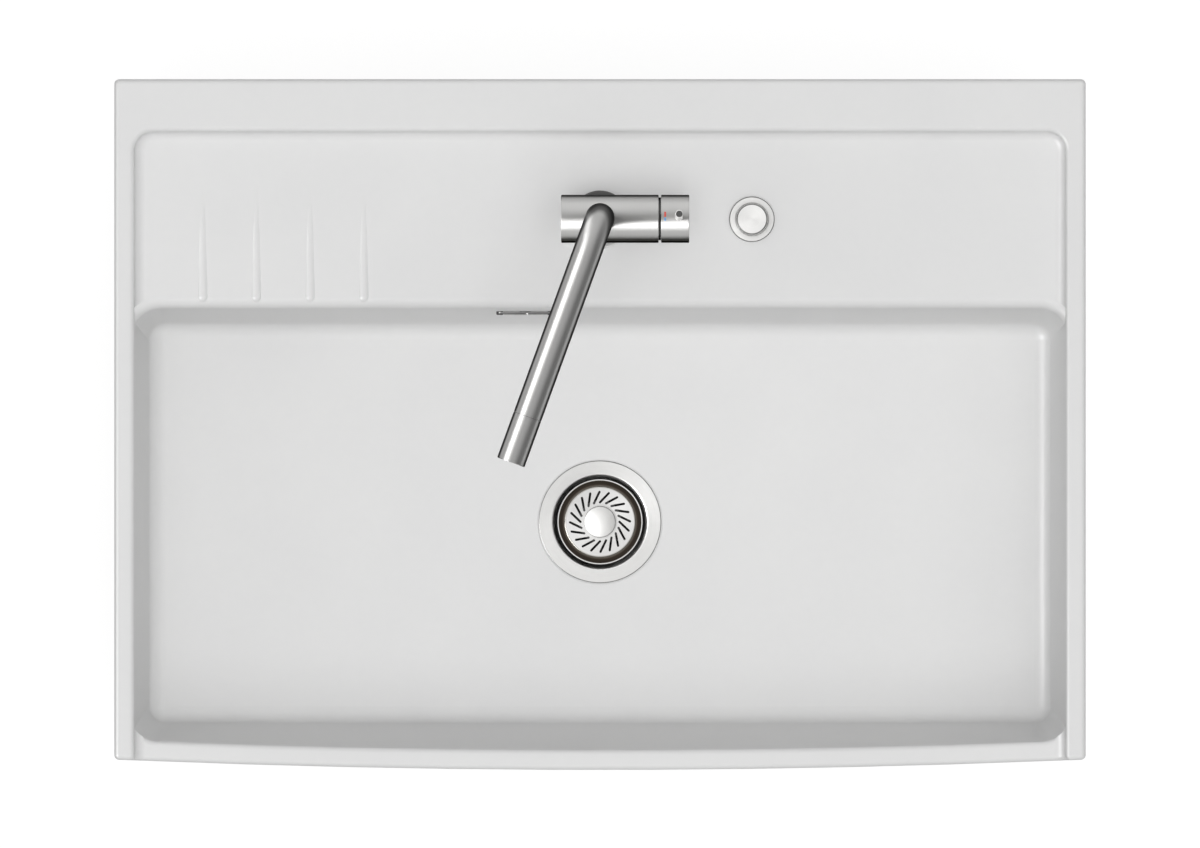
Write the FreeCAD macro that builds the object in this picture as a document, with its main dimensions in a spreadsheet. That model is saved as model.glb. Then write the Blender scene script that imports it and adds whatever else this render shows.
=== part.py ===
import FreeCAD, Part
import math
import os
import Sketcher

# Kitchen sink with drainboard: a one-bowl ceramic sink with a front apron, a drainer ledge
# along the back, a side-lever tap with a pull-out spray, a turn control and a basket waste.
# Millimetres. X runs left to right, Y from the front to the back, Z up. The origin lies in
# the plane that rests on the cabinet, under the middle of the sink's outline.

Vector = FreeCAD.Vector
Rotation = FreeCAD.Rotation

doc = FreeCAD.newDocument("kitchen_sink")
sheet = doc.addObject("Spreadsheet::Sheet", "Sizes")
pieces = []


# ---- sizes: a value in the sheet, and arithmetic that keeps the link to it ----

class Size:
    """A number that remembers the sheet expression it came from."""

    def __init__(self, value, text=None):
        self.value = float(value)
        self.text = text or f"({value:.9f})"

    def __add__(self, other):
        other = as_size(other)
        return Size(self.value + other.value, f"({self.text} + {other.text})")

    def __sub__(self, other):
        other = as_size(other)
        return Size(self.value - other.value, f"({self.text} - {other.text})")

    def __mul__(self, other):
        other = as_size(other)
        return Size(self.value * other.value, f"({self.text} * {other.text})")

    def __truediv__(self, other):
        other = as_size(other)
        return Size(self.value / other.value, f"({self.text} / {other.text})")

    def __neg__(self):
        return Size(-self.value, f"(0 - {self.text})")

    def root(self):
        return Size(math.sqrt(self.value), f"sqrt({self.text})")

    __radd__ = __add__
    __rmul__ = __mul__

    def __rsub__(self, other):
        return as_size(other) - self


def as_size(number):
    return number if isinstance(number, Size) else Size(number)


def driving(alias, value):
    """Put one driving dimension in the sheet and return it as a Size."""
    driving.row += 1
    sheet.set(f"A{driving.row}", alias.replace("_", " "))
    sheet.set(f"B{driving.row}", f"{value}")
    sheet.setAlias(f"B{driving.row}", alias)
    return Size(value, f"Sizes.{alias}")


driving.row = 0


def bind(thing, property_path, size):
    thing.setExpression(property_path, as_size(size).text)


def point(at):
    return Vector(*[as_size(c).value for c in at])


def place(thing, at, turn=None):
    """Set a Placement and tie its position to the sheet."""
    thing.Placement = FreeCAD.Placement(point(at), turn or Rotation())
    for axis, coordinate in zip("xyz", at):
        if isinstance(coordinate, Size):
            bind(thing, f".Placement.Base.{axis}", coordinate)


# a hair over one, so that an arc given by its ends and radius always has a centre
SLACK = 1.00001

# directions for pieces that are drawn standing on +Z
ALONG_X = Rotation(Vector(0, 1, 0), 90)
TO_REAR = Rotation(Vector(1, 0, 0), -90)


# ---- sketches and features ----

def new_body(label, at=(0, 0, 0), turn=None):
    body = doc.addObject("PartDesign::Body", label)
    body.Label = label
    place(body, at, turn)
    pieces.append(body)
    return body


def new_sketch(body, role, lift=0):
    sketch = body.newObject("Sketcher::SketchObject", f"{body.Label}_sketch")
    plane = next(f for f in body.Origin.OriginFeatures if f.Role == role)
    sketch.AttachmentSupport = (plane, [""])
    sketch.MapMode = "FlatFace"
    sketch.AttachmentOffset = FreeCAD.Placement(Vector(0, 0, as_size(lift).value), Rotation())
    if isinstance(lift, Size):
        bind(sketch, ".AttachmentOffset.Base.z", lift)
    return sketch


def pin(sketch, edge, end, at):
    """Hold one end of an edge at a point given in sizes."""
    for kind, coordinate in zip(("DistanceX", "DistanceY"), at):
        value = as_size(coordinate).value
        index = sketch.addConstraint(Sketcher.Constraint(kind, -1, 1, edge, end, value))
        bind(sketch, f"Constraints[{index}]", coordinate)


def arc_geometry(start, end, radius):
    """The short arc between two points, its centre on the left of the way for radius > 0."""
    way = end - start
    left = Vector(-way.y, way.x, 0).normalize()
    rise = math.sqrt(max(radius * radius - way.Length ** 2 / 4, 0.0))
    centre = (start + end) * 0.5 + left * (rise if radius > 0 else -rise)
    circle = Part.Circle(centre, Vector(0, 0, 1), abs(radius))
    first = math.atan2(start.y - centre.y, start.x - centre.x)
    last = math.atan2(end.y - centre.y, end.x - centre.x)
    if radius > 0:
        return Part.ArcOfCircle(circle, first, last)
    return Part.ArcOfCircle(circle, last, first)


def draw(sketch, corners, closed=True):
    """Lines and arcs from corner to corner: (x, y), or (x, y, radius) where an arc starts."""
    ways = len(corners) if closed else len(corners) - 1
    ends = []
    for i in range(ways):
        start = corners[i]
        end = corners[(i + 1) % len(corners)]
        start_point = point((start[0], start[1], 0))
        end_point = point((end[0], end[1], 0))
        if len(start) == 2:
            edge = sketch.addGeometry(Part.LineSegment(start_point, end_point), False)
            ends.append((edge, 1, 2))
            continue
        radius = as_size(start[2])
        arc = arc_geometry(start_point, end_point, radius.value)
        edge = sketch.addGeometry(arc, False)
        ends.append((edge, 1, 2) if radius.value > 0 else (edge, 2, 1))
        size = radius if radius.value > 0 else -radius
        index = sketch.addConstraint(Sketcher.Constraint("Radius", edge, size.value))
        bind(sketch, f"Constraints[{index}]", size)
    for i in range(ways):
        edge, first, last = ends[i]
        pin(sketch, edge, first, corners[i][:2])
        if closed or i + 1 < ways:
            following = ends[(i + 1) % ways]
            join = Sketcher.Constraint("Coincident", edge, last, following[0], following[1])
            sketch.addConstraint(join)
        else:
            pin(sketch, edge, last, corners[i + 1][:2])
    return sketch


def draw_circle(sketch, x, y, radius):
    circle = Part.Circle(point((x, y, 0)), Vector(0, 0, 1), as_size(radius).value)
    edge = sketch.addGeometry(circle, False)
    pin(sketch, edge, 3, (x, y))
    index = sketch.addConstraint(Sketcher.Constraint("Radius", edge, as_size(radius).value))
    bind(sketch, f"Constraints[{index}]", radius)
    return sketch


def rectangle(left, right, low, high):
    return [(left, low), (right, low), (right, high), (left, high)]


def rounded_rectangle(half_length, half_height, corner):
    in_x = half_length - corner
    in_y = half_height - corner
    bend = corner * SLACK
    return [
        (in_x, -half_height, bend), (half_length, -in_y), (half_length, in_y, bend),
        (in_x, half_height), (-in_x, half_height, bend), (-half_length, in_y),
        (-half_length, -in_y, bend), (-in_x, -half_height),
    ]


def stadium(half_length, radius, x=0, y=0):
    """A bar with round ends, as the two lines and two half rounds of its outline."""
    reach = as_size(half_length) - radius
    right, left = reach + x, as_size(x) - reach
    low, high = as_size(y) - radius, radius + as_size(y)
    return [(left, low), (right, low, radius * SLACK), (right, high), (left, high, radius * SLACK)]


def volume(body):
    return body.Shape.Volume if body.Tip and not body.Shape.isNull() else 0.0


def check_change(body, made, before):
    """Stop if a feature left the solid as it was, or left nothing of it."""
    after = volume(body)
    assert after > 0.01 and abs(after - before) > 0.01, f"{made.Label} changes nothing"


def feature(body, kind, sketch, settings, sizes):
    """Add one sketch-based feature and make sure that it changes the solid."""
    before = volume(body)
    made = body.newObject(f"PartDesign::{kind}", f"{body.Label}_{kind.lower()}")
    made.Profile = sketch
    for name, value in settings.items():
        setattr(made, name, value)
    for name, size in sizes.items():
        setattr(made, name, as_size(size).value)
        bind(made, name, size)
    sketch.Visibility = False
    doc.recompute()
    check_change(body, made, before)
    return made


def pad(body, sketch, length, both_ways=False):
    return feature(body, "Pad", sketch, {"Midplane": both_ways}, {"Length": length})


def pocket(body, sketch, length, upward=False, both_ways=False):
    settings = {"Reversed": upward, "Midplane": both_ways}
    return feature(body, "Pocket", sketch, settings, {"Length": length})


def revolve(body, corners, angle=360, cut=False):
    """Turn a half section, drawn as (radius, height), about the piece's own Z axis."""
    sketch = draw(new_sketch(body, "XZ_Plane"), corners)
    settings = {"ReferenceAxis": (sketch, ["V_Axis"])}
    kind = "Groove" if cut else "Revolution"
    return feature(body, kind, sketch, settings, {"Angle": angle})


def rod(body, radius, length, at=(0, 0, 0), turn=None, cut=False):
    """A cylinder added to a body, or drilled out of it."""
    before = volume(body)
    kind = "SubtractiveCylinder" if cut else "AdditiveCylinder"
    made = body.newObject(f"PartDesign::{kind}", f"{body.Label}_{kind.lower()}")
    made.Radius = as_size(radius).value
    made.Height = as_size(length).value
    bind(made, "Radius", radius)
    bind(made, "Height", length)
    place(made, at, turn)
    doc.recompute()
    check_change(body, made, before)
    return made


def drill(body, radius, length, at=(0, 0, 0), turn=None):
    return rod(body, radius, length, at, turn, cut=True)


def turned(label, corners, at=(0, 0, 0), turn=None):
    body = new_body(label, at, turn)
    revolve(body, corners)
    return body


def ring(label, inner, outer, low, high, at=(0, 0, 0), turn=None):
    return turned(label, [(inner, low), (outer, low), (outer, high), (inner, high)], at, turn)


def dress(body, kind, size, wanted):
    """Round or bevel the edges that wanted(edge) picks."""
    base = body.Tip
    names = [f"Edge{i}" for i, edge in enumerate(base.Shape.Edges, 1) if wanted(edge)]
    assert names, f"{body.Label} has no such edge"
    made = body.newObject(f"PartDesign::{kind}", f"{body.Label}_{kind.lower()}")
    made.Base = (base, names)
    property_name = "Radius" if kind == "Fillet" else "Size"
    setattr(made, property_name, as_size(size).value)
    bind(made, property_name, size)
    doc.recompute()
    assert "Invalid" not in made.State and body.Shape.isValid(), f"{made.Label} failed"
    return made


def round_edges(body, radius, wanted):
    return dress(body, "Fillet", radius, wanted)


def bevel_edges(body, size, wanted):
    return dress(body, "Chamfer", size, wanted)


def middle(edge):
    return edge.valueAt((edge.FirstParameter + edge.LastParameter) / 2)


def near(a, b, slack=0.05):
    return abs(a - as_size(b).value) < slack


def hexagon(across_flats):
    corner = across_flats / math.sqrt(3)
    return [
        (corner * math.cos(math.radians(60 * i)), corner * math.sin(math.radians(60 * i)))
        for i in range(6)
    ]


def hex_nut(label, across_flats, bore, low, thickness, at):
    body = new_body(label, at)
    sketch = draw(new_sketch(body, "XY_Plane", low), hexagon(across_flats))
    draw_circle(sketch, 0, 0, bore)
    pad(body, sketch, thickness)
    return body


# ---- driving dimensions ----

sink_half_width = driving("sink_half_width", 447.5)
sink_rear = driving("sink_rear", 318.3)
sink_front = driving("sink_front", 318.3)
front_bow = driving("front_bow", 9.6)
sink_height = driving("sink_height", 220.0)
corner_round = driving("corner_round", 4.6)
rim_width = driving("rim_width", 18.4)
recess_depth = driving("recess_depth", 15.0)
recess_rear = driving("recess_rear", 270.0)
recess_corner = driving("recess_corner", 17.5)
cove_radius = driving("cove_radius", 9.8)
ledge_front = driving("ledge_front", 107.8)
ledge_round = driving("ledge_round", 10.0)
ledge_thickness = driving("ledge_thickness", 22.0)
skirt_low = driving("skirt_low", 145.0)
skirt_thickness = driving("skirt_thickness", 14.0)
bowl_wall_rear = driving("bowl_wall_rear", 122.0)
floor_height = driving("floor_height", 18.0)
floor_rear = driving("floor_rear", 93.5)
floor_front = driving("floor_front", 275.5)
floor_half_width = driving("floor_half_width", 418.0)
floor_cove = driving("floor_cove", 16.0)
bowl_rear_corner = driving("bowl_rear_corner", 28.0)
bowl_front_corner = driving("bowl_front_corner", 26.0)
corner_cut_off = driving("corner_cut_off", 3.9)
front_rim_width = driving("front_rim_width", 18.4)
rib_first = driving("rib_first", -366.2)
rib_pitch = driving("rib_pitch", 49.5)
rib_radius = driving("rib_radius", 6.06)
rib_rise = driving("rib_rise", 2.0)
rib_front = driving("rib_front", 118.0)
rib_length = driving("rib_length", 107.0)

waste_y = driving("waste_y", -90.2)
dish_radius = driving("dish_radius", 125.0)
foot_recess = driving("foot_recess", 75.0)
flange_radius = driving("flange_radius", 56.8)
flange_mouth = driving("flange_mouth", 43.5)
flange_tube = driving("flange_tube", 43.9)
basket_radius = driving("basket_radius", 39.4)
plate_radius = driving("plate_radius", 32.9)
basket_cap_radius = driving("basket_cap_radius", 14.6)
stem_radius = driving("stem_radius", 4.0)
outlet_radius = driving("outlet_radius", 23.9)
outlet_bore = driving("outlet_bore", 20.0)
rocker_reach = driving("rocker_reach", 18.0)
rocker_swing = 16.1
lift_shaft_radius = driving("lift_shaft_radius", 3.0)

overflow_x = driving("overflow_x", -69.0)
overflow_z = driving("overflow_z", 158.0)
overflow_length = driving("overflow_length", 53.4)
overflow_width = driving("overflow_width", 14.0)
spigot_radius = driving("spigot_radius", 10.0)
spigot_bore = driving("spigot_bore", 7.5)

fitting_y = driving("fitting_y", 189.3)
fitting_hole = driving("fitting_hole", 17.5)
control_x = driving("control_x", 140.0)
control_flange = driving("control_flange", 20.9)
control_radius = driving("control_radius", 14.3)
spindle_radius = driving("spindle_radius", 4.0)

tap_flange = driving("tap_flange", 26.5)
tap_radius = driving("tap_radius", 22.1)
tap_axis_rise = driving("tap_axis_rise", 62.0)
tap_left = driving("tap_left", -35.7)
tap_right = driving("tap_right", 53.9)
knob_near = driving("knob_near", 56.2)
knob_far = driving("knob_far", 82.0)
tilt_x = driving("tilt_x", 49.0)
lever_x = driving("lever_x", 72.7)
lever_radius = driving("lever_radius", 3.5)
lever_reach = driving("lever_reach", 67.0)
lever_lean = 3.5
spout_radius = driving("spout_radius", 13.3)
spout_bore = driving("spout_bore", 11.8)
spout_rise = driving("spout_rise", 265.0)
spout_bend = driving("spout_bend", 40.0)
spout_joint = driving("spout_joint", 193.3)
spout_reach = driving("spout_reach", 238.0)
spout_turn = 20.0
shank_radius = driving("shank_radius", 16.5)
tail_radius = driving("tail_radius", 5.0)

ledge_top = sink_height - recess_depth
ledge_low = ledge_top - ledge_thickness
rim_inner = sink_half_width - rim_width
doc.recompute()


# ---- ceramic: one block with a recessed ledge, a drafted bowl and holes for the fittings ----

front_corner_y = front_bow - sink_front
bow_radius = (sink_half_width * sink_half_width + front_bow * front_bow) / (front_bow * 2)
ceramic = new_body("ceramic")
pieces.remove(ceramic)
outline = [
    (sink_half_width, front_corner_y), (sink_half_width, sink_rear),
    (-sink_half_width, sink_rear), (-sink_half_width, front_corner_y, bow_radius),
]
pad(ceramic, draw(new_sketch(ceramic, "XY_Plane"), outline), sink_height)
round_edges(ceramic, corner_round, lambda e: near(e.BoundBox.ZLength, sink_height))

# the space behind the bowl: open below the skirt, and hollow under the ledge
behind = rectangle(-sink_half_width - 5, sink_half_width + 5, bowl_wall_rear, sink_rear + 5)
pocket(ceramic, draw(new_sketch(ceramic, "XY_Plane"), behind), skirt_low, upward=True)
hollow_half = sink_half_width - skirt_thickness
hollow = rectangle(-hollow_half, hollow_half, bowl_wall_rear, sink_rear - skirt_thickness)
pocket(ceramic, draw(new_sketch(ceramic, "XY_Plane"), hollow), ledge_low, upward=True)

# the recess inside the raised rim, open towards the front, with a cove round its floor
recess = [
    (-rim_inner, -sink_front - 5), (rim_inner, -sink_front - 5),
    (rim_inner, recess_rear - recess_corner, recess_corner * SLACK),
    (rim_inner - recess_corner, recess_rear),
    (recess_corner - rim_inner, recess_rear, recess_corner * SLACK),
    (-rim_inner, recess_rear - recess_corner),
]
pocket(ceramic, draw(new_sketch(ceramic, "XY_Plane", sink_height), recess), recess_depth)


def round_the_recess_floor(edge):
    level = near(edge.BoundBox.ZMin, ledge_top) and edge.BoundBox.ZLength < 1
    return level and middle(edge).y > -100


def on_the_rim_or_front(edge):
    box = edge.BoundBox
    return box.ZMin > sink_height.value - 0.1 or (
        box.ZMin > ledge_top.value - 0.1 and box.YMax < front_corner_y.value + 2
    )


round_edges(ceramic, cove_radius, round_the_recess_floor)
round_edges(ceramic, corner_round, on_the_rim_or_front)


def bowl_section(height, half, rear, front, rear_corner, front_corner, bow, cut_off):
    """One level of the bowl: straight back and sides, a front that may bow, four corners.

    Where the rim's own side cuts the wall off, the corners stop short of tangent.
    """
    rear_x = half + cut_off - rear_corner
    rear_drop = (rear_corner * rear_corner - (half - rear_x) * (half - rear_x)).root()
    front_x = half + cut_off - front_corner
    front_drop = (front_corner * front_corner - (half - front_x) * (half - front_x)).root()
    front_y = front_x * front_x / (bow * 2) - front if bow else -front
    rear_side = rear - rear_corner + rear_drop
    front_side = front_y + front_corner - front_drop
    corners = [
        (half, front_side), (half, rear_side, rear_corner * SLACK),
        (rear_x, rear), (-rear_x, rear, rear_corner * SLACK),
        (-half, rear_side), (-half, front_side, front_corner * SLACK),
        (-front_x, front_y, bow) if bow else (-front_x, front_y),
        (front_x, front_y, front_corner * SLACK),
    ]
    return draw(new_sketch(ceramic, "XY_Plane", height), corners)


def cut_bowl():
    floor = bowl_section(
        floor_height, floor_half_width, floor_rear, floor_front,
        floor_cove, floor_cove, None, 0,
    )
    mouth = bowl_section(
        ledge_top, rim_inner, ledge_front, sink_front - front_rim_width,
        bowl_rear_corner, bowl_front_corner, bow_radius, corner_cut_off,
    )
    settings = {"Sections": [mouth], "Ruled": True}
    feature(ceramic, "SubtractiveLoft", floor, settings, {})
    pocket(ceramic, mouth, recess_depth + 1, upward=True)


cut_bowl()
round_edges(
    ceramic, floor_cove,
    lambda e: near(e.BoundBox.ZMax, floor_height) and e.BoundBox.YMax < floor_rear.value + 1,
)
round_edges(
    ceramic, corner_round,
    lambda e: near(e.BoundBox.ZMax, ledge_top) and near(middle(e).y, front_rim_width - sink_front),
)

# the ledge's front edge rolls over into the bowl's back wall, and stands a little proud of it
roll_bite = 0.25
wall_slope = (ledge_front - floor_rear) / (ledge_top - floor_height)
slant = (wall_slope * wall_slope + 1).root()
roll_y = ledge_front - wall_slope * ledge_round + slant * ledge_round - roll_bite
roll_foot_y = roll_y - ledge_round / slant
roll_foot_z = ledge_top - ledge_round + wall_slope * ledge_round / slant


def roll_section(axis_y, top):
    """What is cut off above and in front of the rolled edge, measured from axis_y."""
    return [
        (roll_foot_y - axis_y - 2, roll_foot_z), (roll_foot_y - axis_y, roll_foot_z, -ledge_round),
        (roll_y - axis_y, ledge_top), (roll_y - axis_y, top), (roll_foot_y - axis_y - 2, top),
    ]


roll_half = rim_inner + corner_cut_off - bowl_rear_corner
roll = draw(new_sketch(ceramic, "YZ_Plane"), roll_section(0, ledge_top + 2))
pocket(ceramic, roll, roll_half * 2, both_ways=True)

# the underside: softened edges, a recess round the waste, and the cut for the waste above it
round_edges(ceramic, 3, lambda e: near(e.BoundBox.ZMax, 0) and middle(e).y < bowl_wall_rear.value)
seat_height = floor_height - 2.8
dish_height = floor_height - 1.4
seat_radius = flange_radius + 1.4
waste_hole = flange_tube + 2.1


def groove_round_waste(corners):
    sketch = draw(new_sketch(ceramic, "XZ_Plane", -waste_y), corners)
    settings = {"ReferenceAxis": (sketch, ["V_Axis"])}
    feature(ceramic, "Groove", sketch, settings, {"Angle": 360})


groove_round_waste([
    (0, -1), (waste_hole, -1), (waste_hole, seat_height), (seat_radius, seat_height),
    (seat_radius, dish_height), (dish_radius, floor_height), (dish_radius, floor_height + 1),
    (0, floor_height + 1),
])
groove_round_waste([(0, -1), (foot_recess, -1), (foot_recess, 4), (0, 4)])

# holes for the tap and the control in the ledge, and for the overflow in the bowl's back wall
for x in (0, control_x):
    drill(ceramic, fitting_hole, ledge_thickness + 2, (x, fitting_y, ledge_low - 1))
overflow_hole = draw(
    new_sketch(ceramic, "XZ_Plane", -(bowl_wall_rear + 1)),
    stadium(18, 5.5, overflow_x, overflow_z),
)
pocket(ceramic, overflow_hole, 30, upward=True)

# the same roll round the bowl's two rear corners, up to the rim and the slanted side wall
corner_rolls = []
roll_axis_y = ledge_front - bowl_rear_corner
beyond = [
    (rim_inner - roll_half, sink_height + 2), (60, sink_height + 2), (60, floor_height),
    (floor_half_width - roll_half, floor_height), (rim_inner - roll_half, ledge_top),
]
for label, across, turn, side_plane in (
    ("right_roll", roll_half, 0, "XZ_Plane"), ("left_roll", -roll_half, 90, "YZ_Plane"),
):
    corner = new_body(label, (across, roll_axis_y, 0), Rotation(Vector(0, 0, 1), turn))
    pieces.remove(corner)
    revolve(corner, roll_section(roll_axis_y, sink_height + 1), angle=90)
    pocket(corner, draw(new_sketch(corner, side_plane), beyond), 200, both_ways=True)
    corner_rolls.append(corner)

# four drain ribs that grow out of the ledge towards the bowl, each a sunk cone with a ball end
ribs = []
rib_axis = ledge_top + rib_rise - rib_radius
for i in range(4):
    at = (rib_first + rib_pitch * i, rib_front, rib_axis)
    cone = doc.addObject("Part::Cone", "rib")
    bind(cone, "Radius1", rib_radius)
    bind(cone, "Radius2", rib_radius - rib_rise)
    bind(cone, "Height", rib_length)
    place(cone, at, TO_REAR)
    ball = doc.addObject("Part::Sphere", "rib_end")
    bind(ball, "Radius", rib_radius)
    place(ball, at)
    ribs += [cone, ball]
ribbed = doc.addObject("Part::MultiFuse", "ribbed")
ribbed.Shapes = [ceramic] + ribs
both_rolls = doc.addObject("Part::MultiFuse", "both_rolls")
both_rolls.Shapes = corner_rolls
sink_basin = doc.addObject("Part::Cut", "sink_basin")
sink_basin.Base = ribbed
sink_basin.Tool = both_rolls
sink_basin.Label = "sink_basin"
pieces.append(sink_basin)
doc.recompute()


# ---- overflow: a plate with an end cap each side on the bowl's back wall, and an elbow behind ----

wall_y = ledge_front - wall_slope * (ledge_top - overflow_z)
wall_tilt = math.degrees(math.atan(wall_slope.value))
overflow_seal = new_body("overflow_seal", (overflow_x, bowl_wall_rear, overflow_z), TO_REAR)
seal_outline = draw(new_sketch(overflow_seal, "XY_Plane"), stadium(28, 13))
draw(seal_outline, stadium(19.5, 7))
pad(overflow_seal, seal_outline, 2)

# the plate stands off the slanted wall; its screw is sunk level into a boss on the plate's back
overflow_at = (overflow_x, wall_y, overflow_z)
on_wall = Rotation(Vector(1, 0, 0), 90 - wall_tilt)
level = Rotation(Vector(1, 0, 0), wall_tilt)
cap_half = overflow_length / 2
plate_half = cap_half - 1.2
plate_back = 0.6
plate_front = 2.0
head_seat = 0.4
overflow_cover = new_body("overflow_cover", overflow_at, on_wall)
cover_plate = new_sketch(overflow_cover, "XY_Plane", plate_back)
draw(cover_plate, rounded_rectangle(plate_half, overflow_width / 2, 3))
pad(overflow_cover, cover_plate, plate_front - plate_back)
rod(overflow_cover, 5, 2.1, (0, 0, -1.4))
drill(overflow_cover, 4.3, 3, (0, 0, head_seat), level)
drill(overflow_cover, 2.7, 4, (0, 0, -2), level)
for x in (-19, -14, -9, 9, 14, 19):
    slot = draw(new_sketch(overflow_cover, "XY_Plane"), rectangle(x - 1.2, x + 1.2, -4.5, 4.5))
    pocket(overflow_cover, slot, 5, upward=True)

cap_back = 0.05
cap_front = 2.6
cap_inner = cap_half - 6
cap_section = [
    (cap_inner, cap_back), (cap_half, cap_back), (cap_half, cap_front - 1, SLACK),
    (cap_half - 1, cap_front), (cap_inner, cap_front), (cap_inner, plate_front + 0.05),
    (plate_half + 0.1, plate_front + 0.05), (plate_half + 0.1, plate_back - 0.05),
    (cap_inner, plate_back - 0.05),
]
for label, spin in (("overflow_left_cap", 180), ("overflow_right_cap", 0)):
    end_cap = new_body(label, overflow_at, on_wall * Rotation(Vector(0, 0, 1), spin))
    pad(end_cap, draw(new_sketch(end_cap, "XZ_Plane"), cap_section), 10, both_ways=True)

overflow_elbow = new_body("overflow_elbow", (overflow_x, bowl_wall_rear + 2, overflow_z), TO_REAR)
pad(overflow_elbow, draw(new_sketch(overflow_elbow, "XY_Plane"), stadium(28, 13)), 3)
pad(overflow_elbow, draw(new_sketch(overflow_elbow, "XY_Plane", 3), stadium(20, 9)), 21.5)
elbow_way = 13.7
rod(overflow_elbow, spigot_radius + 2, 10, (0, 4, elbow_way), TO_REAR)
rod(overflow_elbow, spigot_radius, 36, (0, 4, elbow_way), TO_REAR)
elbow_inside = draw(new_sketch(overflow_elbow, "XY_Plane"), stadium(18, 7))
pocket(overflow_elbow, elbow_inside, 22.5, upward=True)
drill(overflow_elbow, spigot_bore, 39, (0, 2, elbow_way), TO_REAR)
rod(overflow_elbow, 4.2, 38, (0, 0, -14))
drill(overflow_elbow, 2.45, 18, (0, 0, -15))

turned(
    "overflow_screw",
    [(0, -1.2), (3.5, -1.2), (4, -0.7), (4, 0), (2.4, 0), (2.4, 17.5), (0, 17.5)],
    (overflow_x, wall_y - head_seat - 0.02, overflow_z), TO_REAR,
)


# ---- basket waste: flange and threaded tube, seals, nut, outlet body, basket and its lift ----

waste_at = (0, waste_y, 0)
tube_inner = flange_tube - 1.6
lip = seat_height + 0.6
tube_low = -24
turned("waste_flange", [
    (tube_inner, tube_low), (flange_tube, tube_low), (flange_tube, lip), (flange_radius - 0.6, lip),
    (flange_radius, lip + 0.6, 0.6 * Size(SLACK)), (flange_radius - 0.6, lip + 1.2),
    (flange_mouth + 1.5, lip + 0.9, 1.6), (flange_mouth, lip - 0.2), (tube_inner, lip - 3),
    (tube_inner, 0.8), (29, -6.2), (29, -8), (29.6, -8), (tube_inner, -1.2),
], waste_at)
ring("waste_flange_seal", waste_hole, flange_radius - 0.8, seat_height, lip, waste_at)
ring("waste_lower_seal", waste_hole + 0.4, 62, 1.6, 4, waste_at)
ring("waste_clamp_washer", flange_tube + 0.5, 60, 0, 1.6, waste_at)

waste_clamp_nut = new_body("waste_clamp_nut", waste_at)
revolve(waste_clamp_nut, [
    (flange_tube + 0.2, -10), (52, -10), (54, -8), (54, -3), (58, -3), (58, 0),
    (flange_tube + 0.2, 0),
])
for i in range(6):
    angle = math.radians(60 * i)
    rod(waste_clamp_nut, 3.5, 7, (55 * math.cos(angle), 55 * math.sin(angle), -10))

outlet_low = -125
shaft_y = -17.6
shaft_height = -36.4
waste_body = new_body("waste_body", waste_at)
revolve(waste_body, [
    (0, outlet_low), (outlet_radius, outlet_low), (outlet_radius, -92), (26, -90), (26, -87),
    (47.6, -62), (47.6, -12), (0, -12),
])
rod(waste_body, 8, 20, (36, shaft_y, shaft_height), ALONG_X)
rod(waste_body, spigot_radius + 2, 9, (0, 40, -48), TO_REAR)
rod(waste_body, spigot_radius, 35, (0, 40, -48), TO_REAR)
revolve(waste_body, [
    (0, outlet_low - 1), (outlet_bore, outlet_low - 1), (outlet_bore, -86), (42.8, -60),
    (42.8, -26.4), (flange_tube + 0.2, -26.4), (flange_tube + 0.2, -11), (0, -11),
], cut=True)
drill(waste_body, lift_shaft_radius + 0.05, 30, (30, shaft_y, shaft_height), ALONG_X)
drill(waste_body, spigot_bore, 50, (0, 30, -48), TO_REAR)

stem_guide = new_body("stem_guide", waste_at)
revolve(stem_guide, [(40.6, -26.2), (43.7, -26.2), (43.7, -24.2), (40.6, -24.2)])
spokes = new_sketch(stem_guide, "XY_Plane", -26.2)
draw(spokes, rectangle(-42, 42, -2.5, 2.5))
pad(stem_guide, spokes, 2)
crossing = new_sketch(stem_guide, "XY_Plane", -26.2)
draw(crossing, rectangle(-2.5, 2.5, -42, 42))
pad(stem_guide, crossing, 2)
rod(stem_guide, 7.5, 9, (0, 0, -27))
drill(stem_guide, stem_radius + 0.08, 12, (0, 0, -28))

plate_height = seat_height - 2.2
strainer_basket = new_body("strainer_basket", waste_at)
revolve(strainer_basket, [
    (stem_radius + 0.2, plate_height - 1), (plate_radius - 1, plate_height - 1),
    (plate_radius - 1, 5), (basket_radius, 5), (basket_radius, plate_height + 1.4),
    (basket_radius - 0.9, plate_height + 1.4), (basket_radius - 0.9, 6), (plate_radius, 6),
    (plate_radius, plate_height - 0.8, 0.8 * Size(SLACK)), (plate_radius - 0.8, plate_height),
    (stem_radius + 0.2, plate_height),
])


def slanted_slot(inner, outer, half_width, twist):
    """A round-ended slot whose outer end is turned clockwise from its inner end."""
    start = Vector(inner, 0, 0)
    end = Vector(outer * math.cos(math.radians(twist)), -outer * math.sin(math.radians(twist)), 0)
    way = (end - start).normalize()
    aside = Vector(-way.y, way.x, 0) * half_width
    corners = [start - aside, end - aside, end + aside, start + aside]
    bend = half_width * SLACK
    return [
        (corners[0].x, corners[0].y), (corners[1].x, corners[1].y, bend),
        (corners[2].x, corners[2].y), (corners[3].x, corners[3].y, bend),
    ]


slot = new_sketch(strainer_basket, "XY_Plane", plate_height - 2)
draw(slot, slanted_slot(18.1, 27.8, 1.05, 17))
first_slot = pocket(strainer_basket, slot, 3, upward=True)
slots = strainer_basket.newObject("PartDesign::PolarPattern", "slots")
slots.Originals = [first_slot]
slots.Axis = (slot, ["N_Axis"])
slots.Angle = 360
slots.Occurrences = 20
strainer_basket.Tip = slots

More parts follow.
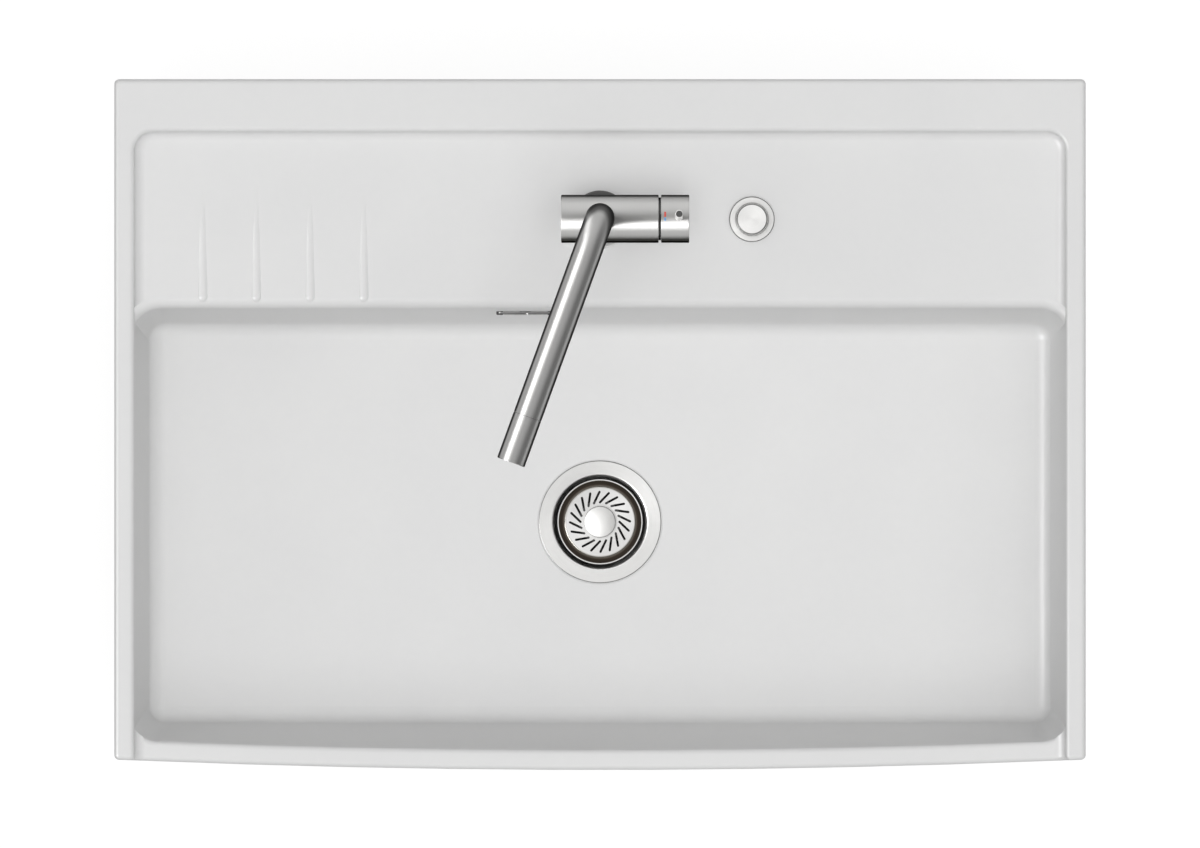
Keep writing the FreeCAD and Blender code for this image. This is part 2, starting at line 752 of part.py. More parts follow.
dome_radius = (basket_cap_radius * basket_cap_radius + 9) / 6
turned("basket_cap", [
    (0, plate_height), (basket_cap_radius - 0.5, plate_height),
    (basket_cap_radius, plate_height + 0.5),
    (basket_cap_radius, plate_height + 1.6, dome_radius), (0, plate_height + 4.6),
], waste_at)
turned("basket_stem", [
    (0, -38), (stem_radius - 1, -38), (stem_radius, -37), (stem_radius, plate_height - 0.1),
    (0, plate_height - 0.1),
], waste_at)
turned("basket_seal", [
    (33, 5), (38.8, 5), (38.8, 1), (36.2, -2), (35, -2), (34, 2), (33, 2),
], waste_at)

shaft_at = (0, waste_y + shaft_y, shaft_height)
rest_swing = Rotation(Vector(1, 0, 0), -rocker_swing)
turned("lift_shaft", [
    (0, -6), (lift_shaft_radius, -6), (lift_shaft_radius, 72), (0, 72),
], shaft_at, ALONG_X)
ring("shaft_gland", lift_shaft_radius + 0.05, 9, 56, 62, shaft_at, ALONG_X)


def arm_on_shaft(label, x, width, direction, reach):
    """A hub on the lift shaft with an arm along Y or -Z, and a cross pin or eye at its end."""
    body = new_body(label, shaft_at, rest_swing)
    rod(body, 6.5, width, (x - width / 2, 0, 0), ALONG_X)
    sketch = new_sketch(body, "YZ_Plane", x)
    if direction == "rear":
        draw(sketch, rectangle(0, reach, -2.5, 2.5))
        pad(body, sketch, 5, both_ways=True)
        rod(body, 3, width, (x - width / 2, reach, 0), ALONG_X)
    else:
        draw(sketch, rectangle(-3, 3, -(reach + 3), 0))
        pad(body, sketch, width, both_ways=True)
        drill(body, 1.2, width + 2, (x - width / 2 - 1, 0, -reach), ALONG_X)
    drill(body, lift_shaft_radius + 0.02, width + 2, (x - width / 2 - 1, 0, 0), ALONG_X)
    return body


arm_on_shaft("lift_rocker", 0, 8, "rear", rocker_reach)
arm_on_shaft("lift_crank", 66.5, 5, "down", Size(20))

cable_bracket = new_body("cable_bracket", shaft_at)
bracket_x = 51
rod(cable_bracket, 11, 6, (bracket_x - 3, 0, 0), ALONG_X)
web = new_sketch(cable_bracket, "YZ_Plane", bracket_x)
draw(web, [(6, -8), (30, -26), (40, -26), (40, -14), (8, 4)])
pad(cable_bracket, web, 6, both_ways=True)
shelf = draw(new_sketch(cable_bracket, "YZ_Plane", bracket_x + 9), rectangle(32, 40, -26, -14))
pad(cable_bracket, shelf, 24, both_ways=True)
rod(cable_bracket, 5, 12, (66.5, 34, -20), TO_REAR)
drill(cable_bracket, 8.05, 8, (bracket_x - 4, 0, 0), ALONG_X)
drill(cable_bracket, 3.1, 9, (66.5, 38, -20), TO_REAR)
drill(cable_bracket, 1.4, 20, (66.5, 30, -20), TO_REAR)


# ---- waste control: an escutcheon and turning knob on the ledge, with a cable drum below ----

control_at = (control_x, fitting_y, 0)
collar = control_radius + 0.8
ring("control_seal", 17.7, control_flange - 0.6, ledge_top, ledge_top + 0.6, control_at)
turned("control_escutcheon", [
    (collar + 0.1, ledge_top + 0.6), (control_flange, ledge_top + 0.6),
    (control_flange, ledge_top + 2.6), (control_flange - 0.8, ledge_top + 5.4),
    (collar + 0.5, ledge_top + 5.4), (collar + 0.1, ledge_top + 5.0),
], control_at)
housing_low = ledge_top - 55
turned("control_housing", [
    (spindle_radius + 0.08, housing_low), (fitting_hole - 0.7, housing_low),
    (fitting_hole - 0.7, ledge_top + 0.4), (collar, ledge_top + 0.4), (collar, ledge_top + 3.4),
    (spindle_radius + 0.08, ledge_top + 3.4),
], control_at)
ring("control_washer", fitting_hole - 0.4, 26, ledge_low - 2.5, ledge_low, control_at)
hex_nut("control_nut", 46, fitting_hole - 0.6, ledge_low - 12.5, 10, control_at)
turned("control_knob", [
    (spindle_radius + 0.03, ledge_top + 4.2), (control_radius, ledge_top + 4.2),
    (control_radius, ledge_top + 19.0), (control_radius - 0.6, ledge_top + 19.6),
    (0, ledge_top + 19.6), (0, ledge_top + 14), (spindle_radius + 0.03, ledge_top + 14),
], control_at)
turned("control_spindle", [
    (0, housing_low - 16), (spindle_radius, housing_low - 16),
    (spindle_radius, ledge_top + 13.8), (0, ledge_top + 13.8),
], control_at)
turned("control_drum", [
    (spindle_radius + 0.02, housing_low - 14), (13, housing_low - 14), (13, housing_low - 11),
    (10.5, housing_low - 11), (10.5, housing_low - 8), (13, housing_low - 8),
    (13, housing_low - 5), (spindle_radius + 0.02, housing_low - 5),
], control_at)
control_cable_gland = new_body("control_cable_gland", (control_x, fitting_y, housing_low))
clamp_inner = fitting_hole - 0.6
revolve(control_cable_gland, [(clamp_inner, 2), (20.5, 2), (20.5, 10), (clamp_inner, 10)])
arm = draw(new_sketch(control_cable_gland, "XY_Plane", -15), rectangle(-29, -17.2, -15.5, -5.5))
pad(control_cable_gland, arm, 25)
drill(control_cable_gland, 3.1, 6.5, (-29.5, -10.5, -9.5), ALONG_X)
drill(control_cable_gland, 1.4, 16, (-30, -10.5, -9.5), ALONG_X)


# ---- tap: flange and body on the ledge, shank, tails and nut below, cartridge, knob, lever ----

tap_at = (0, fitting_y, 0)
axis_height = ledge_top + tap_axis_rise
neck_top = axis_height + 26
ring("tap_base_seal", 17.7, tap_flange - 1, ledge_top, ledge_top + 0.8, tap_at)
turned("tap_base_flange", [
    (shank_radius + 0.2, ledge_top + 0.8), (tap_flange, ledge_top + 0.8),
    (tap_flange, ledge_top + 8.0), (tap_flange - 0.8, ledge_top + 8.8),
    (shank_radius + 0.2, ledge_top + 8.8),
], tap_at)

tap_body = new_body("tap_body", tap_at)
rod(tap_body, 20, tap_axis_rise - 8.8, (0, 0, ledge_top + 8.8))
rod(tap_body, tap_radius, tap_right - tap_left, (tap_left, 0, axis_height), ALONG_X)
bevel_edges(
    tap_body, 0.5,
    lambda e: isinstance(e.Curve, Part.Circle) and near(e.Curve.Radius, tap_radius),
)
rod(tap_body, spout_radius, neck_top - axis_height, (0, 0, axis_height))
drill(tap_body, shank_radius + 0.1, 17, (0, 0, ledge_top + 8))
drill(tap_body, 6.5, 60, (0, 0, ledge_top + 20))
drill(tap_body, 10.1, 30, (0, 0, neck_top - 23))
drill(tap_body, 17.9, 50, (13.5, 0, axis_height), ALONG_X)
drill(tap_body, 4, 14, (2, 0, axis_height), ALONG_X)

tap_shank = new_body("tap_shank", tap_at)
shank_low = ledge_low - 40
rod(tap_shank, shank_radius, 82.5, (0, 0, shank_low))
drill(tap_shank, 6, 90, (0, 7, shank_low - 1))
tail_low = shank_low - 25
for label, x in (("hot_tail", -8), ("cold_tail", 8)):
    drill(tap_shank, tail_radius - 0.45, 14, (x, -7, shank_low - 1))
    drill(tap_shank, 3, 90, (x, -7, shank_low - 1))
    turned(label, [
        (tail_radius - 1.5, tail_low), (tail_radius, tail_low), (tail_radius, shank_low - 0.3),
        (tail_radius - 0.5, shank_low - 0.3), (tail_radius - 0.5, shank_low + 12.5),
        (tail_radius - 1.5, shank_low + 12.5),
    ], (x, fitting_y - 7, 0))
ring("tap_rubber_washer", shank_radius + 0.3, 27, ledge_low - 3, ledge_low, tap_at)
ring("tap_clamp_washer", shank_radius + 0.3, 26, ledge_low - 5, ledge_low - 3, tap_at)
hex_nut("tap_nut", 41, shank_radius + 0.05, ledge_low - 19, 14, tap_at)

cartridge_at = (0, fitting_y, axis_height)
lean_back = Rotation(Vector(1, 0, 0), -lever_lean)
mixer_turn = lean_back.multiply(ALONG_X)
turned("mixing_cartridge", [
    (0, 14.2), (17.6, 14.2), (17.6, 46), (13.2, 46), (13.2, 38.2), (0, 38.2),
], cartridge_at, ALONG_X)
turned("cartridge_nut", [
    (12.9, 46.2), (17.7, 46.2), (17.7, tap_right + 0.1), (19.75, tap_right + 0.1),
    (19.75, knob_near - 0.2), (12.9, knob_near - 0.2),
], cartridge_at, ALONG_X)

turntable = new_body("cartridge_turntable", cartridge_at, mixer_turn)
rod(turntable, 12.5, 15.6, (0, 0, 38.4))
opening = draw(new_sketch(turntable, "XY_Plane", 42), rectangle(-7.5, 7.5, -4.3, 4.3))
pocket(turntable, opening, 14, upward=True)
drill(turntable, 1.55, 30, (0, -15, tilt_x), TO_REAR)
turned("lever_cross_pin", [(0, -11.5), (1.5, -11.5), (1.5, 11.5), (0, 11.5)],
       (tilt_x, fitting_y, axis_height), lean_back.multiply(TO_REAR))

lever_bar = new_body("cartridge_lever", cartridge_at, mixer_turn)
pad(lever_bar, draw(new_sketch(lever_bar, "XY_Plane", 43), rectangle(-4, 4, -4, 4)), 30.4)
drill(lever_bar, 1.6, 20, (0, -10, tilt_x), TO_REAR)

mixer_knob = new_body("mixer_knob", cartridge_at, mixer_turn)
revolve(mixer_knob, [
    (tap_radius - 2.1, knob_near), (tap_radius - 0.5, knob_near), (tap_radius, knob_near + 0.5),
    (tap_radius, knob_far - 0.5), (tap_radius - 0.5, knob_far), (0, knob_far),
    (0, knob_near + 8), (tap_radius - 2.1, knob_near + 8),
])
socket = new_sketch(mixer_knob, "XY_Plane", knob_near + 7)
draw(socket, rectangle(-4.15, 4.15, -4.15, 4.15))
pocket(mixer_knob, socket, 11, upward=True)
drill(mixer_knob, lever_radius + 0.05, 20, (-7.5, 0, lever_x), Rotation(Vector(0, 1, 0), -90))
drill(mixer_knob, 2.05, 24, (3, 0, 70), ALONG_X)
# the knob's lower edge is cut back, so that it can tip towards the body when the lever opens
relief = [(0, knob_near), (0, knob_near - 1), (24, knob_near - 1), (24, knob_near + 9)]
pocket(mixer_knob, draw(new_sketch(mixer_knob, "XZ_Plane"), relief), 60, both_ways=True)

turned("pin_lever", [
    (0, 8), (lever_radius, 8), (lever_radius, lever_reach - 0.5),
    (lever_radius - 0.5, lever_reach), (0, lever_reach),
], (lever_x, fitting_y, axis_height), lean_back)
turned("lever_grub_screw", [
    (0, 4.4), (2, 4.4), (2, 20), (1.1, 20), (1.1, 17.5), (0, 17.5),
], (70, fitting_y, axis_height), Rotation(Vector(1, 0, 0), 180 - lever_lean))


def temperature_mark(label, front, rear):
    """A thin inlay on the knob between two angles, counted rearwards from its top."""
    start = Rotation(Vector(1, 0, 0), -rear).multiply(ALONG_X)
    body = new_body(label, cartridge_at, start.multiply(Rotation(Vector(0, 0, 1), 180)))
    revolve(body, [
        (tap_radius, 59), (tap_radius + 0.15, 59), (tap_radius + 0.15, 60.8), (tap_radius, 60.8),
    ], angle=rear - front)


temperature_mark("hot_mark", lever_lean + 0.7, lever_lean + 13)
temperature_mark("cold_mark", lever_lean - 9, lever_lean - 0.7)


# ---- spout: a bent tube that swivels on the body, with a pull-out spray head ----

run_height = ledge_top + spout_rise
spout_yaw = Rotation(Vector(0, 0, 1), -90 - spout_turn)
along_run = spout_yaw.multiply(ALONG_X)
run_at = (0, fitting_y, run_height)
riser_low = neck_top + 0.6
ring("swivel_washer", 10.5, spout_radius - 0.4, neck_top, neck_top + 0.45, tap_at)
turned("spout_bush", [
    (7.6, neck_top - 21), (10.03, neck_top - 21), (10.03, neck_top - 16), (8.2, neck_top - 16),
    (8.2, neck_top - 13.8), (10.03, neck_top - 13.8), (10.03, neck_top - 9), (8.2, neck_top - 9),
    (8.2, neck_top - 6.8), (10.03, neck_top - 6.8), (10.03, riser_low),
    (spout_bore - 0.05, riser_low), (spout_bore - 0.05, neck_top + 13), (7.6, neck_top + 13),
], tap_at)
rings = []
for drop in (14.9, 7.9):
    torus = doc.addObject("Part::Torus", "o_ring")
    torus.Radius1 = 9.15
    torus.Radius2 = 0.9
    place(torus, (0, fitting_y, neck_top - drop))
    rings.append(torus)
spout_o_rings = doc.addObject("Part::MultiFuse", "spout_o_rings")
spout_o_rings.Shapes = rings
spout_o_rings.Label = "spout_o_rings"
pieces.append(spout_o_rings)

spout_tube = new_body("spout_tube", tap_at, spout_yaw)
path = new_sketch(spout_tube, "XZ_Plane")
draw(path, [
    (0, riser_low), (0, run_height - spout_bend, -spout_bend * SLACK), (spout_bend, run_height),
    (spout_joint, run_height),
], closed=False)
section = new_sketch(spout_tube, "XY_Plane", riser_low)
draw_circle(section, 0, 0, spout_radius)
draw_circle(section, 0, 0, spout_bore)
doc.recompute()
pipe = spout_tube.newObject("PartDesign::AdditivePipe", "pipe")
pipe.Profile = section
pipe.Spine = (path, [f"Edge{i + 1}" for i in range(3)])
doc.recompute()
ring("spout_dock", 10.9, spout_bore - 0.05, spout_joint - 17, spout_joint - 0.3, run_at, along_run)

head_near = spout_joint + 0.5
spray_head = new_body("spray_head", run_at, along_run)
revolve(spray_head, [
    (9.5, head_near), (spout_radius, head_near), (spout_radius, spout_reach - 0.6),
    (spout_radius - 0.6, spout_reach), (0, spout_reach), (0, spout_reach - 4),
    (10.5, spout_reach - 4), (10.5, head_near + 3.5), (9.5, head_near + 3.5),
])
outlet = spout_reach - 15
rod(spray_head, 10.8, 6, (8.8, 0, outlet), ALONG_X)
drill(spray_head, 9.4, 16, (0, 0, outlet), ALONG_X)
turned("spray_spigot", [
    (6.5, spout_joint - 33), (10.6, spout_joint - 33), (10.6, spout_joint + 0.05),
    (9.4, spout_joint + 0.05), (9.4, head_near + 5), (6.5, head_near + 5),
], run_at, along_run)
ring(
    "spray_joint_ring", 10.8, spout_radius - 0.4, spout_joint + 0.1, spout_joint + 0.45,
    run_at, along_run,
)

way = spout_yaw.multVec(Vector(1, 0, 0))
aerator = new_body("spray_aerator", (outlet * way.x, outlet * way.y + fitting_y, run_height))
revolve(aerator, [
    (0, -12.6), (8, -12.6), (8, -14.3), (9.2, -14.3), (9.2, -8), (0, -8),
])
hole = draw_circle(new_sketch(aerator, "XY_Plane", -13), 5.2, 0, 0.9)
first_hole = pocket(aerator, hole, 6, upward=True)
holes = aerator.newObject("PartDesign::PolarPattern", "holes")
holes.Originals = [first_hole]
holes.Axis = (hole, ["N_Axis"])
holes.Angle = 360
holes.Occurrences = 12
aerator.Tip = holes


# ---- check every object, then write one file for each piece ----

doc.recompute()
for thing in doc.Objects:
    assert not {"Invalid", "Error"} & set(thing.State), f"{thing.Label} is not sound"
os.makedirs("parts", exist_ok=True)
for piece in pieces:
    assert not piece.Shape.isNull() and piece.Shape.isValid(), f"{piece.Label} has no sound shape"
    piece.Shape.exportStep(f"parts/{piece.Label}.step")
    print(f"{piece.Label}: {len(piece.Shape.Solids)} solid, {piece.Shape.Volume / 1000:.2f} cm3")
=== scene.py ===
import math
import bpy
from mathutils import Matrix, Vector


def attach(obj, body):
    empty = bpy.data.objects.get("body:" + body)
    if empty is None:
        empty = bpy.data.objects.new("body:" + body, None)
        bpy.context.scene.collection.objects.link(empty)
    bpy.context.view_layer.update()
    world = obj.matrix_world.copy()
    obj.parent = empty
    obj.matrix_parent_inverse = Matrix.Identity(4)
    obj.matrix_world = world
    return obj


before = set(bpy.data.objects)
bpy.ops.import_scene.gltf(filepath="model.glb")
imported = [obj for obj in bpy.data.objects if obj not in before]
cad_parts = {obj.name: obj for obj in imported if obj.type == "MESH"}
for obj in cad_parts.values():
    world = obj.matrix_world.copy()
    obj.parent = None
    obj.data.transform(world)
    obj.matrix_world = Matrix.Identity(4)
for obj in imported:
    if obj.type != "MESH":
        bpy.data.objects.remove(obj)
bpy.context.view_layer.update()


# ---- Camera: it looks straight down on the sink from far away, through a long lens, so that
# the rims and the tap show hardly any perspective. The frame is 1.104 m wide at the rim.

frame_width = 1.1043
rim_height = 0.25
camera_height = 28.0
outline_middle = Vector((0.0, 0.0006, 0.0))

eye = bpy.data.cameras.new("plan_camera")
eye.sensor_width = 36.0
eye.lens = eye.sensor_width * (camera_height - rim_height) / frame_width
eye.clip_end = 60.0
camera = bpy.data.objects.new("plan_camera", eye)
camera.location = outline_middle + Vector((0.0, 0.0, camera_height))
bpy.context.scene.collection.objects.link(camera)
bpy.context.scene.camera = camera
bpy.context.scene.view_settings.view_transform = "Standard"


# ---- Studio: white paper that does not glow in a small disc below the outlet, painted shade
# seen down the drain, an even sky that is brighter overhead, a soft key light from just in front
# that casts hardly any shadow, and a softbox at the left that only shows in the metal.

def add(tree, kind, **settings):
    made = tree.nodes.new(kind)
    for name, value in settings.items():
        setattr(made, name, value)
    return made


def plug(tree, source, target):
    tree.links.new(source, target)


def calculate(tree, operation, first, second=None):
    made = add(tree, "ShaderNodeMath", operation=operation)
    for socket, value in zip(made.inputs, (first, second)):
        if isinstance(value, (int, float)):
            socket.default_value = value
        elif value is not None:
            plug(tree, value, socket)
    return made.outputs[0]


def blended(tree, blend, first, second, share=1.0):
    """Two colours added, multiplied or mixed by a share that may be a number or a socket."""
    made = add(tree, "ShaderNodeMix", data_type="RGBA", blend_type=blend)
    if isinstance(share, float):
        made.inputs["Factor"].default_value = share
    else:
        plug(tree, share, made.inputs["Factor"])
    plug(tree, first, made.inputs[6])
    plug(tree, second, made.inputs[7])
    return made.outputs[2]


def colour_ramp(tree, factor, *stops):
    """A ramp through (position, colour) stops; one number for a colour is a grey."""
    made = add(tree, "ShaderNodeValToRGB")
    ramp = made.color_ramp
    while len(ramp.elements) < len(stops):
        ramp.elements.new(0.5)
    for element, (position, colour) in zip(ramp.elements, stops):
        element.position = position
        element.color = (*((colour,) * 3 if isinstance(colour, float) else colour), 1.0)
    plug(tree, factor, made.inputs["Fac"])
    return made.outputs["Color"]


sky = bpy.data.worlds.new("studio")
bpy.context.scene.world = sky
sky.use_nodes = True
tree = sky.node_tree
tree.nodes.clear()
direction = add(tree, "ShaderNodeSeparateXYZ")
plug(tree, add(tree, "ShaderNodeTexCoord").outputs["Generated"], direction.inputs[0])
ray = add(tree, "ShaderNodeLightPath").outputs
lit = add(tree, "ShaderNodeBackground")
plug(tree, colour_ramp(
    tree, direction.outputs["Z"],
    (0.0, 0.32), (0.5, 0.37), (0.8, 0.50),
    (1.0, 0.67),
), lit.inputs["Color"])


def halved(tree, part):
    """A direction's part from -1 to 1, brought between 0 and 1."""
    return calculate(tree, "MULTIPLY", calculate(tree, "ADD", part, 1.0), 0.5)


left_to_right = colour_ramp(
    tree, halved(tree, direction.outputs["X"]),
    (0.0, 0.45), (0.3, 0.74), (0.5, 0.84),
    (0.72, 0.66), (0.80, 0.40), (0.86, 0.02),
    (0.92, 0.02), (1.0, 0.35),
)
front_and_rear = colour_ramp(
    tree, halved(tree, direction.outputs["Y"]),
    (0.10, 0.35), (0.33, 0.0), (0.55, 0.0),
    (0.85, 0.70),
)
mirrored = add(tree, "ShaderNodeBackground")
plug(tree, blended(tree, "ADD", left_to_right, front_and_rear), mirrored.inputs["Color"])
white = add(tree, "ShaderNodeBackground")
white.inputs["Color"].default_value = (1.0, 1.0, 1.0, 1.0)
seen = calculate(tree, "MAXIMUM", ray["Is Camera Ray"], ray["Is Transmission Ray"])
glossy = add(tree, "ShaderNodeMixShader")
plug(tree, ray["Is Glossy Ray"], glossy.inputs["Fac"])
plug(tree, lit.outputs[0], glossy.inputs[1])
plug(tree, mirrored.outputs[0], glossy.inputs[2])
choose = add(tree, "ShaderNodeMixShader")
plug(tree, seen, choose.inputs["Fac"])
plug(tree, glossy.outputs[0], choose.inputs[1])
plug(tree, white.outputs[0], choose.inputs[2])
plug(tree, choose.outputs[0], add(tree, "ShaderNodeOutputWorld").inputs["Surface"])


def lamp(kind, name, at, power, **settings):
    """A lamp that looks at the sink from the given place."""
    light = bpy.data.lights.new(name, kind)
    light.energy = power
    for label, value in settings.items():
        setattr(light, label, value)
    made = bpy.data.objects.new(name, light)
    made.location = at
    made.rotation_euler = (-Vector(at)).to_track_quat("-Z", "Y").to_euler()
    bpy.context.scene.collection.objects.link(made)
    return made


for name, at, power, shadow in (
    ("front_sun", (0.0, -0.60, 3.0), 0.92, False),
    ("front_sun_shadow", (0.0, -0.60, 3.0), 0.50, True),
    ("right_sun", (1.09, 0.0, 3.0), 0.2, True),
):
    sun = lamp("SUN", name, at, power, angle=math.radians(30), use_shadow=shadow)
    sun.visible_glossy = False
softbox = lamp(
    "AREA", "left_softbox", (-2.72, -1.2, 2.2), 220.0, shape="RECTANGLE", size=2.2, size_y=1.6,
)
softbox.visible_diffuse = False

floor_mesh = bpy.data.meshes.new("floor")
reach = 24.0
floor_height = -0.1255
waste_line = -0.0902
painted_shade_radius = 0.026
paper_glow = 0.82
floor_mesh.from_pydata(
    [(-reach, -reach, floor_height), (reach, -reach, floor_height),
     (reach, reach, floor_height), (-reach, reach, floor_height)],
    [], [(0, 1, 2, 3)],
)
floor = bpy.data.objects.new("floor", floor_mesh)
bpy.context.scene.collection.objects.link(floor)
paper = bpy.data.materials.new("studio_paper")
paper.use_nodes = True
tree = paper.node_tree
tree.nodes.clear()
grain = add(tree, "ShaderNodeTexNoise")
grain.inputs["Scale"].default_value = 3.0
matt = add(tree, "ShaderNodeBsdfDiffuse")
plug(tree, colour_ramp(
    tree, grain.outputs["Fac"], (0.3, 0.25), (0.7, 0.27),
), matt.inputs["Color"])
glow = add(tree, "ShaderNodeEmission")
ray = add(tree, "ShaderNodeLightPath")
looked_at = calculate(tree, "MAXIMUM", ray.outputs["Is Camera Ray"], ray.outputs["Is Glossy Ray"])
looked_at = calculate(tree, "MAXIMUM", looked_at, ray.outputs["Is Transmission Ray"])
# painted shade: the paper does not glow within a small disc under the outlet, so the drain looks
# dark inside
from_outlet = add(tree, "ShaderNodeVectorMath", operation="DISTANCE")
plug(tree, add(tree, "ShaderNodeTexCoord").outputs["Object"], from_outlet.inputs[0])
from_outlet.inputs[1].default_value = (0.0, waste_line, floor_height)
outside_painted_shade = calculate(tree, "GREATER_THAN", from_outlet.outputs["Value"], painted_shade_radius)
looked_at = calculate(tree, "MULTIPLY", looked_at, outside_painted_shade)
plug(tree, calculate(tree, "MULTIPLY", looked_at, paper_glow), glow.inputs["Strength"])
both = add(tree, "ShaderNodeAddShader")
plug(tree, matt.outputs[0], both.inputs[0])
plug(tree, glow.outputs[0], both.inputs[1])
from_below = calculate(
    tree, "MULTIPLY", add(tree, "ShaderNodeNewGeometry").outputs["Backfacing"],
    ray.outputs["Is Camera Ray"],
)
clear = add(tree, "ShaderNodeMixShader")
plug(tree, from_below, clear.inputs["Fac"])
plug(tree, both.outputs[0], clear.inputs[1])
plug(tree, add(tree, "ShaderNodeBsdfTransparent").outputs[0], clear.inputs[2])
plug(tree, clear.outputs[0], add(tree, "ShaderNodeOutputMaterial").inputs["Surface"])
floor_mesh.materials.append(paper)


# ---- Sink: one block of fired clay under a satin white glaze, cast in a mould, so that its
# flats are very slightly wavy. The faces that look down are left unglazed.

def new_group(name, inputs, outputs):
    """An empty shader group with its sockets; returns the tree and its two ends."""
    group = bpy.data.node_groups.new(name, "ShaderNodeTree")
    for label, kind, value in inputs:
        made = group.interface.new_socket(label, in_out="INPUT", socket_type=f"NodeSocket{kind}")
        if value is not None:
            made.default_value = value
    for label, kind in outputs:
        group.interface.new_socket(label, in_out="OUTPUT", socket_type=f"NodeSocket{kind}")
    return group, add(group, "NodeGroupInput").outputs, add(group, "NodeGroupOutput").inputs


# cloudy variation over a surface, in two sizes
mottle, given, result = new_group(
    "mottle",
    [("Vector", "Vector", None), ("Scale", "Float", 20.0), ("Fine Share", "Float", 0.3)],
    [("Cloud", "Float")],
)
coarse = add(mottle, "ShaderNodeTexNoise")
coarse.inputs["Detail"].default_value = 3.0
plug(mottle, given["Vector"], coarse.inputs["Vector"])
plug(mottle, given["Scale"], coarse.inputs["Scale"])
fine = add(mottle, "ShaderNodeTexNoise")
fine.inputs["Detail"].default_value = 2.0
plug(mottle, given["Vector"], fine.inputs["Vector"])
plug(mottle, calculate(mottle, "MULTIPLY", given["Scale"], 14.0), fine.inputs["Scale"])
share = add(mottle, "ShaderNodeMix")
plug(mottle, given["Fine Share"], share.inputs["Factor"])
plug(mottle, coarse.outputs["Fac"], share.inputs["A"])
plug(mottle, fine.outputs["Fac"], share.inputs["B"])
plug(mottle, share.outputs["Result"], result["Cloud"])


def new_material(name, metallic=0.0):
    made = bpy.data.materials.new(name)
    made.use_nodes = True
    shader = made.node_tree.nodes["Principled BSDF"]
    shader.inputs["Metallic"].default_value = metallic
    return made, made.node_tree, shader


def use_group(tree, group, vector, **values):
    made = add(tree, "ShaderNodeGroup", node_tree=group)
    plug(tree, vector, made.inputs["Vector"])
    for name, value in values.items():
        made.inputs[name.replace("_", " ")].default_value = value
    return made


def bump(tree, shader, height, strength, distance):
    made = add(tree, "ShaderNodeBump")
    made.inputs["Strength"].default_value = strength
    made.inputs["Distance"].default_value = distance
    plug(tree, height, made.inputs["Height"])
    plug(tree, made.outputs["Normal"], shader.inputs["Normal"])
    return made


def uneven(tree, cloud, spread, least, socket):
    """Drives a socket from its least value upwards with the cloud."""
    plug(tree, calculate(tree, "ADD", calculate(tree, "MULTIPLY", cloud, spread), least), socket)


glaze, tree, shader = new_material("satin_glaze")
coordinates = add(tree, "ShaderNodeTexCoord")
cloud = use_group(tree, mottle, coordinates.outputs["Object"], Scale=9.0, Fine_Share=0.25).outputs[0]
glazed = colour_ramp(tree, cloud, (0.3, 0.70), (0.7, (0.725, 0.725, 0.722)))
biscuit = colour_ramp(tree, cloud, (0.35, (0.56, 0.53, 0.48)), (0.65, (0.64, 0.61, 0.56)))
facing = add(tree, "ShaderNodeSeparateXYZ")
plug(tree, coordinates.outputs["Normal"], facing.inputs[0])
down = calculate(tree, "GREATER_THAN", calculate(tree, "MULTIPLY", facing.outputs["Z"], -1.0), 0.7)
plug(tree, blended(tree, "MIX", glazed, biscuit, down), shader.inputs["Base Color"])
satin = add(tree, "ShaderNodeMapRange")
plug(tree, cloud, satin.inputs["Value"])
satin.inputs["To Min"].default_value = 0.36
satin.inputs["To Max"].default_value = 0.46
unglazed_rough = calculate(tree, "MULTIPLY", down, 0.8)
plug(
    tree, calculate(tree, "MAXIMUM", satin.outputs[0], unglazed_rough), shader.inputs["Roughness"],
)
bump(tree, shader, cloud, 0.12, 0.002)


def finish_nodes(material, *nodes):
    """Gives CAD nodes a material in each of their slots."""
    for name in nodes:
        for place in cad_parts[name].material_slots:
            place.material = material


finish_nodes(glaze, "sink_basin")


# ---- Overflow: a slotted steel cover on the bowl's rear wall, held by one screw to a moulded
# elbow behind the wall, with a flat rubber seal between the elbow and the glaze.

# fine lines left by a belt or a lathe, running round the Z axis of the given vector
turned_lines, given, result = new_group(
    "turned_lines",
    [("Vector", "Vector", None), ("Fineness", "Float", 2600.0), ("Streak", "Float", 45.0)],
    [("Line", "Float")],
)
place = add(turned_lines, "ShaderNodeSeparateXYZ")
plug(turned_lines, given["Vector"], place.inputs[0])
x, y, z = place.outputs
squares = [calculate(turned_lines, "MULTIPLY", part, part) for part in (x, y)]
radius = calculate(turned_lines, "SQRT", calculate(turned_lines, "ADD", *squares))
fine_and_streaked = add(turned_lines, "ShaderNodeCombineXYZ")
lines = add(turned_lines, "ShaderNodeTexNoise", noise_dimensions="4D")
lines.inputs["Scale"].default_value = 1.0
lines.inputs["Detail"].default_value = 3.0
plug(turned_lines, fine_and_streaked.outputs[0], lines.inputs["Vector"])
for part, size, socket in (
    (radius, "Fineness", fine_and_streaked.inputs["X"]),
    (z, "Fineness", fine_and_streaked.inputs["Y"]),
    (x, "Streak", fine_and_streaked.inputs["Z"]),
    (y, "Streak", lines.inputs["W"]),
):
    plug(turned_lines, calculate(turned_lines, "MULTIPLY", part, given[size]), socket)
plug(turned_lines, lines.outputs["Fac"], result["Line"])


def centred(tree, at, turn=(0.0, 0.0, 0.0)):
    """Object coordinates measured from a point, turned so that a piece's axis is Z."""
    made = add(tree, "ShaderNodeMapping")
    turning = Matrix.Identity(3)
    for angle, axis in zip(turn, "XYZ"):
        turning = Matrix.Rotation(angle, 3, axis) @ turning
    made.inputs["Rotation"].default_value = turning.to_euler()
    made.inputs["Location"].default_value = -(turning @ Vector(at))
    plug(tree, add(tree, "ShaderNodeTexCoord").outputs["Object"], made.inputs["Vector"])
    return made.outputs["Vector"]


